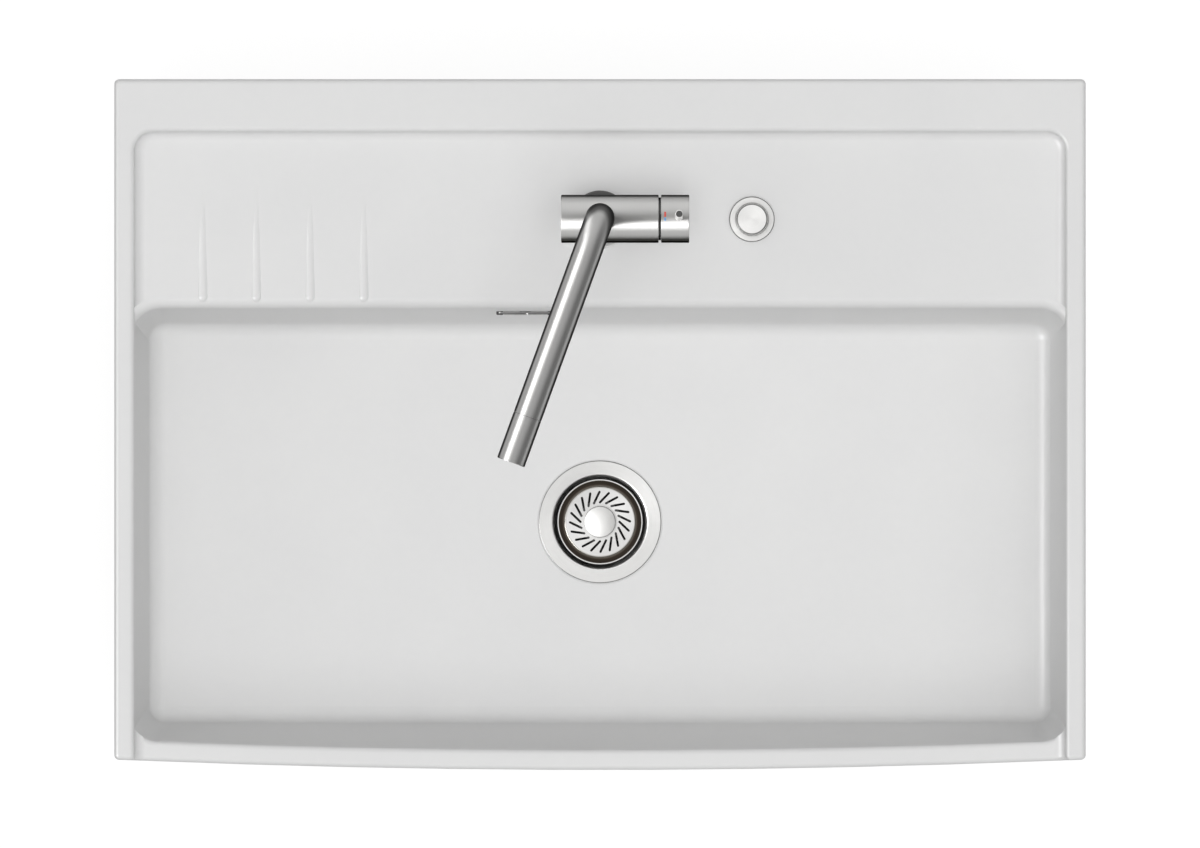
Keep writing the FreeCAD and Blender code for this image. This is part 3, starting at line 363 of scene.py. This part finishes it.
def brushed_steel(
    name, at, axis=(0, 0, 1), tone=0.6, contrast=0.04, rough=0.3, grazing=1.0, spread_share=0.8,
    painted_shade_from=0.52, by_place=None, bend=None,
):
    """Stainless steel with fine lines round an axis through a point, with painted shade where it
    turns away from the view.

    by_place gives a colour that the steel is multiplied with, from its tree and coordinates; each
    use here paints shade or a reflection.
    bend is a point where the piece bends away from the axis, and the way its lines run there.
    """
    made, tree, shader = new_material(name, metallic=1.0)
    turn = Vector(axis).rotation_difference((0, 0, 1)).to_euler()
    line = use_group(tree, turned_lines, centred(tree, at, turn)).outputs[0]
    where = add(tree, "ShaderNodeTexCoord").outputs["Object"]
    cloud = use_group(tree, mottle, where, Scale=18.0, Fine_Share=0.3).outputs[0]
    mixed = calculate(tree, "MULTIPLY", calculate(tree, "ADD", line, cloud), 0.5)
    low, high = tone * (1.0 - contrast), tone * (1.0 + contrast)
    steel = colour_ramp(
        tree, mixed,
        (0.35, (low, low * 0.995, low * 0.98)), (0.65, (high, high * 0.995, high * 0.98)),
    )
    # painted shade: the base colour darkens as the surface turns away from the view, standing in for
    # the dark reflections at a metal's edges
    turned_away = add(tree, "ShaderNodeLayerWeight")
    turned_away.inputs["Blend"].default_value = 0.5
    painted_edge_shade = colour_ramp(
        tree, turned_away.outputs["Facing"],
        (painted_shade_from, 1.0), (painted_shade_from + 0.14, 1.0 - 0.7 * grazing),
        (painted_shade_from + 0.33, 1.0 - 0.9 * grazing),
    )
    shaded = blended(tree, "MULTIPLY", steel, painted_edge_shade)
    if by_place:
        shaded = blended(tree, "MULTIPLY", shaded, by_place(tree, where))
    plug(tree, shaded, shader.inputs["Base Color"])
    spread = add(tree, "ShaderNodeMapRange")
    plug(tree, mixed, spread.inputs["Value"])
    spread.inputs["From Min"].default_value = 0.35
    spread.inputs["From Max"].default_value = 0.65
    spread.inputs["To Min"].default_value = rough * 0.9
    spread.inputs["To Max"].default_value = rough * 1.1
    plug(tree, spread.outputs[0], shader.inputs["Roughness"])
    outward = add(tree, "ShaderNodeVectorMath", operation="SUBTRACT")
    plug(tree, where, outward.inputs[0])
    outward.inputs[1].default_value = at
    along_line = add(tree, "ShaderNodeVectorMath", operation="CROSS_PRODUCT")
    along_line.inputs[0].default_value = axis
    plug(tree, outward.outputs[0], along_line.inputs[1])
    lined = along_line.outputs[0]
    if bend:
        corner, across = bend
        unit = add(tree, "ShaderNodeVectorMath", operation="NORMALIZE")
        plug(tree, lined, unit.inputs[0])
        from_corner = add(tree, "ShaderNodeVectorMath", operation="SUBTRACT")
        plug(tree, where, from_corner.inputs[0])
        from_corner.inputs[1].default_value = corner
        ahead = add(tree, "ShaderNodeVectorMath", operation="DOT_PRODUCT")
        plug(tree, from_corner.outputs[0], ahead.inputs[0])
        ahead.inputs[1].default_value = axis
        bent = add(tree, "ShaderNodeMapRange")
        plug(tree, ahead.outputs["Value"], bent.inputs["Value"])
        bent.inputs["From Min"].default_value = 0.0
        bent.inputs["From Max"].default_value = -0.02
        either_way = add(tree, "ShaderNodeMix", data_type="VECTOR")
        plug(tree, bent.outputs[0], either_way.inputs["Factor"])
        plug(tree, unit.outputs[0], either_way.inputs[4])
        either_way.inputs[5].default_value = across
        lined = either_way.outputs[1]
    to_world = add(
        tree, "ShaderNodeVectorTransform",
        vector_type="VECTOR", convert_from="OBJECT", convert_to="WORLD",
    )
    plug(tree, lined, to_world.inputs[0])
    plug(tree, to_world.outputs[0], shader.inputs["Tangent"])
    shader.inputs["Anisotropic"].default_value = spread_share
    shader.inputs["Anisotropic Rotation"].default_value = 0.25
    shader.inputs["Specular Tint"].default_value = (1.0 - 0.7 * grazing,) * 3 + (1.0,)
    bump(tree, shader, line, 0.3, 0.00001)
    return made


def rubber(name, tone):
    """Matt moulded rubber with a faint bloom."""
    made, tree, shader = new_material(name)
    where = add(tree, "ShaderNodeTexCoord").outputs["Object"]
    cloud = use_group(tree, mottle, where, Scale=60.0, Fine_Share=0.5).outputs[0]
    colour = colour_ramp(tree, cloud, (0.3, tone * 0.7), (0.7, tone * 1.3))
    plug(tree, colour, shader.inputs["Base Color"])
    uneven(tree, cloud, 0.2, 0.6, shader.inputs["Roughness"])
    bump(tree, shader, cloud, 0.3, 0.0002)
    return made


def moulded_plastic(name, colour, grain=0.15):
    """Moulded plastic with a fine eroded grain and slightly uneven tone."""
    made, tree, shader = new_material(name)
    where = add(tree, "ShaderNodeTexCoord").outputs["Object"]
    cloud = use_group(tree, mottle, where, Scale=90.0, Fine_Share=0.6).outputs[0]
    darker = tuple(c * 0.92 for c in colour)
    plug(tree, colour_ramp(tree, cloud, (0.3, darker), (0.7, colour)), shader.inputs["Base Color"])
    uneven(tree, cloud, 0.18, 0.34, shader.inputs["Roughness"])
    bump(tree, shader, cloud, grain, 0.0002)
    return made


overflow_middle = (-0.069, 0.104, 0.158)
overflow_steel = brushed_steel("overflow_steel", overflow_middle, (0, 1, 0), tone=0.36)
finish_nodes(overflow_steel, "overflow_cover", "overflow_screw")
black_rubber = rubber("black_rubber", 0.035)
white_plastic = moulded_plastic("white_plastic", (0.72, 0.72, 0.71))
finish_nodes(black_rubber, "overflow_seal", "overflow_left_cap", "overflow_right_cap")
finish_nodes(white_plastic, "overflow_elbow")


# ---- Waste: a spun steel flange bedded on the glaze, a lift-out basket with twenty slots and
# a domed cap, and the moulded outlet, nut and seals below, with the rocker that lifts it.

waste_middle = (0.0, waste_line, 0.0)


def by_radius(at, *stops):
    """A function that makes a colour from the distance to an upright axis, in tenths of a metre."""
    def coloured(tree, where):
        offset = add(tree, "ShaderNodeVectorMath", operation="SUBTRACT")
        plug(tree, where, offset.inputs[0])
        offset.inputs[1].default_value = at
        flat = add(tree, "ShaderNodeVectorMath", operation="MULTIPLY")
        plug(tree, offset.outputs[0], flat.inputs[0])
        flat.inputs[1].default_value = (10.0, 10.0, 0.0)
        radius = add(tree, "ShaderNodeVectorMath", operation="LENGTH")
        plug(tree, flat.outputs[0], radius.inputs[0])
        return colour_ramp(tree, radius.outputs["Value"], *stops)
    return coloured


def painted_channel_shade(tree, where):
    """Painted shade: brown-black in the basket's deep channel, and dark on every face that does not
    look up, such as the cut walls of its slots.
    """
    # painted shade in the deep channel between the basket's rim and its plate
    channel = by_radius(
        waste_middle,
        (0.312, 1.0), (0.325, (0.52, 0.50, 0.46)), (0.338, (0.20, 0.17, 0.14)),
        (0.350, (0.07, 0.055, 0.045)), (0.375, (0.06, 0.05, 0.04)), (0.383, (0.16, 0.13, 0.11)),
        (0.386, 1.0),
    )(tree, where)
    facing = add(tree, "ShaderNodeSeparateXYZ")
    plug(tree, add(tree, "ShaderNodeTexCoord").outputs["Normal"], facing.inputs[0])
    painted_wall_shade = colour_ramp(
        tree, facing.outputs["Z"], (0.3, (0.04, 0.035, 0.03)), (0.6, 1.0),
    )
    return blended(tree, "MULTIPLY", channel, painted_wall_shade)


# painted shade: a dark outline ring at the flange's outer edge, where it meets the glaze
waste_steel = brushed_steel(
    "spun_waste_steel", waste_middle, tone=0.80, rough=0.36, grazing=0.0, spread_share=0.3,
    by_place=by_radius(waste_middle, (0.559, 1.0), (0.563, 0.35)),
)
# the basket's steel carries painted shade in its channel and on its upright faces
basket_steel = brushed_steel(
    "spun_basket_steel", waste_middle, tone=0.80, rough=0.36, grazing=0.3, spread_share=0.3,
    by_place=painted_channel_shade,
)
# painted shade: a dark outline ring round the cap's edge
cap_steel = brushed_steel(
    "cap_steel", waste_middle, tone=0.76, contrast=0.01, rough=0.6, grazing=0.3, spread_share=0.0,
    by_place=by_radius(waste_middle, (0.138, 1.0), (0.1425, 0.30)),
)
plain_steel = brushed_steel("plain_steel", waste_middle, tone=0.5, rough=0.38)
finish_nodes(waste_steel, "waste_flange")
finish_nodes(basket_steel, "strainer_basket")
finish_nodes(cap_steel, "basket_cap")
finish_nodes(
    plain_steel, "waste_clamp_washer", "basket_stem", "lift_shaft", "lift_rocker", "lift_crank",
    "cable_bracket",
)
finish_nodes(black_rubber, "waste_flange_seal", "waste_lower_seal", "basket_seal")
finish_nodes(white_plastic, "waste_clamp_nut", "shaft_gland")
finish_nodes(moulded_plastic("black_plastic", (0.03, 0.03, 0.03)), "waste_body", "stem_guide")


# ---- Waste control: a round knob turning in a thin steel escutcheon, its housing and nut
# under the ledge, and the drum and gland for a cable.

ledge_line = 0.1893
control_middle = (0.14, ledge_line, 0.0)
# painted shade: a dark ring in the groove at the knob's edge and a dark outline at the escutcheon's
# edge
control_steel = brushed_steel(
    "spun_control_steel", control_middle, tone=0.94, rough=0.36, grazing=0.5, spread_share=0.35,
    by_place=by_radius(
        control_middle,
        (0.129, 1.0), (0.1325, 0.25), (0.143, 0.20),
        (0.146, 1.0), (0.200, 1.0), (0.2045, 0.30),
    ),
)
finish_nodes(
    control_steel, "control_escutcheon", "control_knob", "control_spindle", "control_washer",
)
finish_nodes(black_rubber, "control_seal")
finish_nodes(white_plastic, "control_housing", "control_drum", "control_cable_gland")


def machined_brass(name, at):
    """Plain turned brass, a little dulled."""
    made, tree, shader = new_material(name, metallic=1.0)
    middle = centred(tree, at)
    line = use_group(tree, turned_lines, middle, Fineness=1800.0).outputs[0]
    cloud = use_group(tree, mottle, middle, Scale=40.0).outputs[0]
    mixed = calculate(tree, "MULTIPLY", calculate(tree, "ADD", line, cloud), 0.5)
    brass = colour_ramp(tree, mixed, (0.35, (0.42, 0.29, 0.12)), (0.65, (0.66, 0.49, 0.24)))
    plug(tree, brass, shader.inputs["Base Color"])
    uneven(tree, cloud, 0.3, 0.18, shader.inputs["Roughness"])
    bump(tree, shader, line, 0.3, 0.0001)
    return made


finish_nodes(machined_brass("control_brass", control_middle), "control_nut")


# ---- Tap: a round flange, a column and a barrel of brushed steel on the ledge, with the
# threaded shank, washers and nut below, and the cartridge inside the barrel.

barrel_height = 0.267
tap_middle = (0.0, ledge_line, barrel_height)


def painted_reflection_behind(tree, where):
    """Painted reflection: a colour that falls off behind the tap's axis, standing in for the dark
    barrel mirrored in the flange.
    """
    place = add(tree, "ShaderNodeSeparateXYZ")
    plug(tree, where, place.inputs[0])
    return colour_ramp(
        tree, calculate(tree, "MULTIPLY", place.outputs["Y"], 2.5),
        (0.44, 1.0), (0.50, 0.16),
    )


# the flange's steel carries a painted reflection of the barrel behind the axis
flange_steel = brushed_steel("tap_flange_steel", tap_middle, tone=0.8, by_place=painted_reflection_behind)
finish_nodes(flange_steel, "tap_base_flange", "tap_clamp_washer")


def painted_reflection_front(tree, where):
    """Painted reflection: a colour that falls off under the barrel's front edge, standing in for a
    dark floor mirrored there.
    """
    place = add(tree, "ShaderNodeSeparateXYZ")
    plug(tree, where, place.inputs[0])
    return colour_ramp(
        tree, calculate(tree, "MULTIPLY", place.outputs["Y"], 3.0),
        (0.5120, (0.25, 0.25, 0.24)), (0.5165, 1.0),
    )


# the barrel and knob carry a painted reflection of a dark floor under their front edge
barrel_steel = brushed_steel(
    "barrel_steel", tap_middle, (1, 0, 0), tone=0.56, contrast=0.05, rough=0.5, spread_share=0.95,
    by_place=painted_reflection_front,
)
finish_nodes(barrel_steel, "tap_body", "mixer_knob")
# painted shade: the cartridge nut and lever are near-black so that the gap between barrel and knob
# looks dark
painted_gap_shade_steel = brushed_steel("painted_gap_shade_steel", tap_middle, (1, 0, 0), tone=0.05)
finish_nodes(painted_gap_shade_steel, "cartridge_nut", "cartridge_lever")
finish_nodes(black_rubber, "tap_base_seal", "tap_rubber_washer")
tap_brass = machined_brass("tap_brass", tap_middle)


def size_tree(name, **sizes):
    """An empty Geometry Nodes tree with one named input for each size, and its two ends."""
    made = bpy.data.node_groups.new(name, "GeometryNodeTree")
    made.interface.new_socket("Start", in_out="INPUT", socket_type="NodeSocketGeometry")
    for label, value in sizes.items():
        kind = "NodeSocketInt" if isinstance(value, int) else "NodeSocketFloat"
        size = made.interface.new_socket(label, in_out="INPUT", socket_type=kind)
        size.default_value = value
    made.interface.new_socket("Piece", in_out="OUTPUT", socket_type="NodeSocketGeometry")
    return made, add(made, "NodeGroupInput").outputs, add(made, "NodeGroupOutput").inputs


def finish_tree(made, shape, end):
    """Makes instances real, gives them a material and closes the tree; returns that last node."""
    realized = add(made, "GeometryNodeRealizeInstances")
    plug(made, shape, realized.inputs[0])
    coat = add(made, "GeometryNodeSetMaterial")
    plug(made, realized.outputs[0], coat.inputs["Geometry"])
    plug(made, coat.outputs[0], end["Piece"])
    return coat


def grow(name, tree, coat, material, lowest, body, slot, **sizes):
    """Runs a tree with its sizes, stands the plain mesh on a point, and lets it ride on a body."""
    coat.inputs["Material"].default_value = material
    made = bpy.data.objects.new(name, bpy.data.meshes.new(name))
    bpy.context.scene.collection.objects.link(made)
    steps = made.modifiers.new(name, "NODES")
    steps.node_group = tree
    for socket in tree.interface.items_tree:
        if socket.in_out == "INPUT" and socket.name in sizes:
            steps[socket.identifier] = sizes[socket.name]
    evaluated = made.evaluated_get(bpy.context.evaluated_depsgraph_get())
    plain = bpy.data.meshes.new_from_object(evaluated)
    made.modifiers.remove(steps)
    made.data = plain
    foot = min(corner.co.z for corner in plain.vertices)
    plain.transform(Matrix.Translation(Vector(lowest) - Vector((0.0, 0.0, foot))))
    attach(made, body)
    return made


# a rolled thread: a small four-sided ridge along a spiral
thread, given, result = size_tree(
    "rolled_thread", Radius=0.0165, Ridge=0.0004, Turns=12.0, Height=0.018, Facets=64,
)
spiral = add(thread, "GeometryNodeCurveSpiral")
plug(thread, given["Facets"], spiral.inputs["Resolution"])
plug(thread, given["Turns"], spiral.inputs["Rotations"])
plug(thread, given["Radius"], spiral.inputs["Start Radius"])
plug(thread, given["Radius"], spiral.inputs["End Radius"])
plug(thread, given["Height"], spiral.inputs["Height"])
ridge = add(thread, "GeometryNodeCurvePrimitiveCircle")
ridge.inputs["Resolution"].default_value = 4
plug(thread, given["Ridge"], ridge.inputs["Radius"])
rolled = add(thread, "GeometryNodeCurveToMesh")
plug(thread, spiral.outputs[0], rolled.inputs["Curve"])
plug(thread, ridge.outputs[0], rolled.inputs["Profile Curve"])
rolled.inputs["Fill Caps"].default_value = True
thread_coat = finish_tree(thread, rolled.outputs[0], result)
grow(
    "shank_thread", thread, thread_coat, tap_brass, (0.0, ledge_line, 0.1436), "base", "brass",
    Turns=13.0, Height=0.0195,
)
grow(
    "control_housing_thread", thread, thread_coat, white_plastic, (0.14, ledge_line, 0.1508),
    "base", "white_plastic", Turns=12.0, Height=0.018,
)
finish_nodes(tap_brass, "tap_shank", "tap_nut", "cartridge_turntable", "hot_tail", "cold_tail")
finish_nodes(white_plastic, "mixing_cartridge")


# ---- Mixer lever: a slim steel pin screwed into the knob, with a grub screw and two inlaid
# marks for hot and cold.

def inlay(name, colour):
    """Hard enamel filled into a shallow cut."""
    made, tree, shader = new_material(name)
    where = add(tree, "ShaderNodeTexCoord").outputs["Object"]
    cloud = use_group(tree, mottle, where, Scale=400.0).outputs[0]
    darker = tuple(c * 0.85 for c in colour)
    plug(tree, colour_ramp(tree, cloud, (0.3, darker), (0.7, colour)), shader.inputs["Base Color"])
    uneven(tree, cloud, 0.1, 0.25, shader.inputs["Roughness"])
    return made


def painted_dark_top(tree, where):
    """Painted shade: a colour that darkens the faces that look up, such as the pin's end face."""
    facing = add(tree, "ShaderNodeSeparateXYZ")
    plug(tree, add(tree, "ShaderNodeTexCoord").outputs["Normal"], facing.inputs[0])
    return colour_ramp(
        tree, facing.outputs["Z"], (0.80, 1.0), (0.90, 0.13),
    )


lever_middle = (0.0727, ledge_line, barrel_height)
# the pin's steel carries painted shade on its up-facing end face
pin_steel = brushed_steel("pin_steel", lever_middle, tone=0.8, grazing=0.0, by_place=painted_dark_top)
finish_nodes(pin_steel, "pin_lever", "lever_grub_screw", "lever_cross_pin")
finish_nodes(inlay("hot_enamel", (0.70, 0.10, 0.07)), "hot_mark")
finish_nodes(inlay("cold_enamel", (0.16, 0.38, 0.70)), "cold_mark")


# ---- Spout: a bent steel tube that swivels on the body, brushed round its girth, with the
# pull-out spray head in line with it and a ring between them.

run_height = 0.47
run_middle = (0.0, ledge_line, run_height)
along_run = (-0.34202, -0.93969, 0.0)
across_run = (-0.93969, 0.34202, 0.0)
bend_start = (-0.01368, 0.15171, run_height)
spout_steel = brushed_steel(
    "spout_steel", run_middle, along_run, tone=0.42, contrast=0.06, rough=0.46, spread_share=0.95,
    painted_shade_from=0.42, bend=(bend_start, across_run),
)
finish_nodes(spout_steel, "spout_tube", "spray_head")
finish_nodes(black_rubber, "spout_o_rings", "spray_joint_ring")
finish_nodes(white_plastic, "swivel_washer", "spout_bush", "spout_dock", "spray_spigot")
grey_plastic = moulded_plastic("grey_plastic", (0.30, 0.30, 0.31))
finish_nodes(grey_plastic, "spray_aerator")

# soft nozzles that stand out of the outlet disc, in rings
nozzles, given, result = size_tree(
    "nozzle_ring", Count=12, Ring=0.0065, Mouth=0.0004, Root=0.0007,
)
ring = add(nozzles, "GeometryNodeMeshCircle")
plug(nozzles, given["Count"], ring.inputs["Vertices"])
plug(nozzles, given["Ring"], ring.inputs["Radius"])
nozzle = add(nozzles, "GeometryNodeMeshCone")
nozzle.inputs["Vertices"].default_value = 16
nozzle.inputs["Depth"].default_value = 0.0006
plug(nozzles, given["Root"], nozzle.inputs["Radius Top"])
plug(nozzles, given["Mouth"], nozzle.inputs["Radius Bottom"])
placed = add(nozzles, "GeometryNodeInstanceOnPoints")
plug(nozzles, ring.outputs["Mesh"], placed.inputs["Points"])
plug(nozzles, nozzle.outputs["Mesh"], placed.inputs["Instance"])
nozzle_coat = finish_tree(nozzles, placed.outputs[0], result)
outlet_middle = (-0.0763, -0.0203, 0.4553)
for label, count, reach in (("outer", 12, 0.0065), ("inner", 6, 0.0033)):
    grow(
        f"spray_nozzles_{label}", nozzles, nozzle_coat, grey_plastic, outlet_middle, "spray",
        "grey_plastic", Count=count, Ring=reach,
    )
